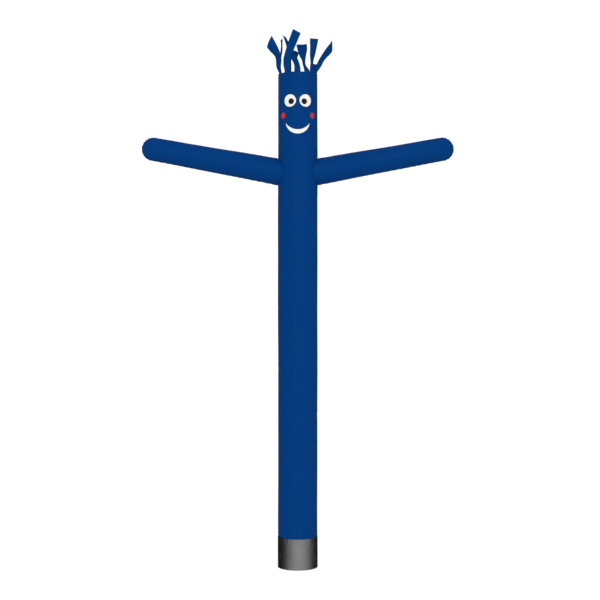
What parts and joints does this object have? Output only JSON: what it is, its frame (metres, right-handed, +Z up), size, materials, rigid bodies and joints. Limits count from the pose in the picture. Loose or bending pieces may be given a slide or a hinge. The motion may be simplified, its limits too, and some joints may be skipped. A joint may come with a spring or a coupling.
{
  "type": "inflatable air dancer",
  "caption": "Tall inflated nylon tube figure with sewn arms, a patch face, streamer hair round its open top and a black sleeve for the blower.",
  "frame": {"origin": "middle of the sleeve's lower edge, on the ground", "axes": "+Z up along the tube, the face looks along -Y, the arms point along -X (arm_left, as seen from the front) and +X (arm_right)"},
  "size_m": [3.615, 0.7463, 6.1785],
  "materials": {
    "blue_nylon": "light ripstop nylon, coated, slightly glossy",
    "black_vinyl": "heavy vinyl-coated cloth, satin",
    "white_patch": "nylon patch, matt",
    "black_patch": "nylon patch, matt",
    "red_patch": "nylon patch, matt"
  },
  "bodies": {
    "root": {"tube": "blue_nylon", "sleeve": "black_vinyl", "arm_left": "blue_nylon", "arm_right": "blue_nylon", "streamer_front_1": "blue_nylon", "streamer_front_2": "blue_nylon", "streamer_front_3": "blue_nylon", "streamer_front_4": "blue_nylon", "streamer_front_5": "blue_nylon", "streamer_front_6": "blue_nylon", "streamer_back_1": "blue_nylon", "streamer_back_2": "blue_nylon", "streamer_back_3": "blue_nylon", "streamer_back_4": "blue_nylon", "streamer_back_5": "blue_nylon", "streamer_back_6": "blue_nylon", "eye_white_left": "white_patch", "eye_white_right": "white_patch", "pupil_left": "black_patch", "pupil_right": "black_patch", "cheek_left": "red_patch", "cheek_right": "red_patch", "smile": "white_patch"}
  },
  "joints": []
}
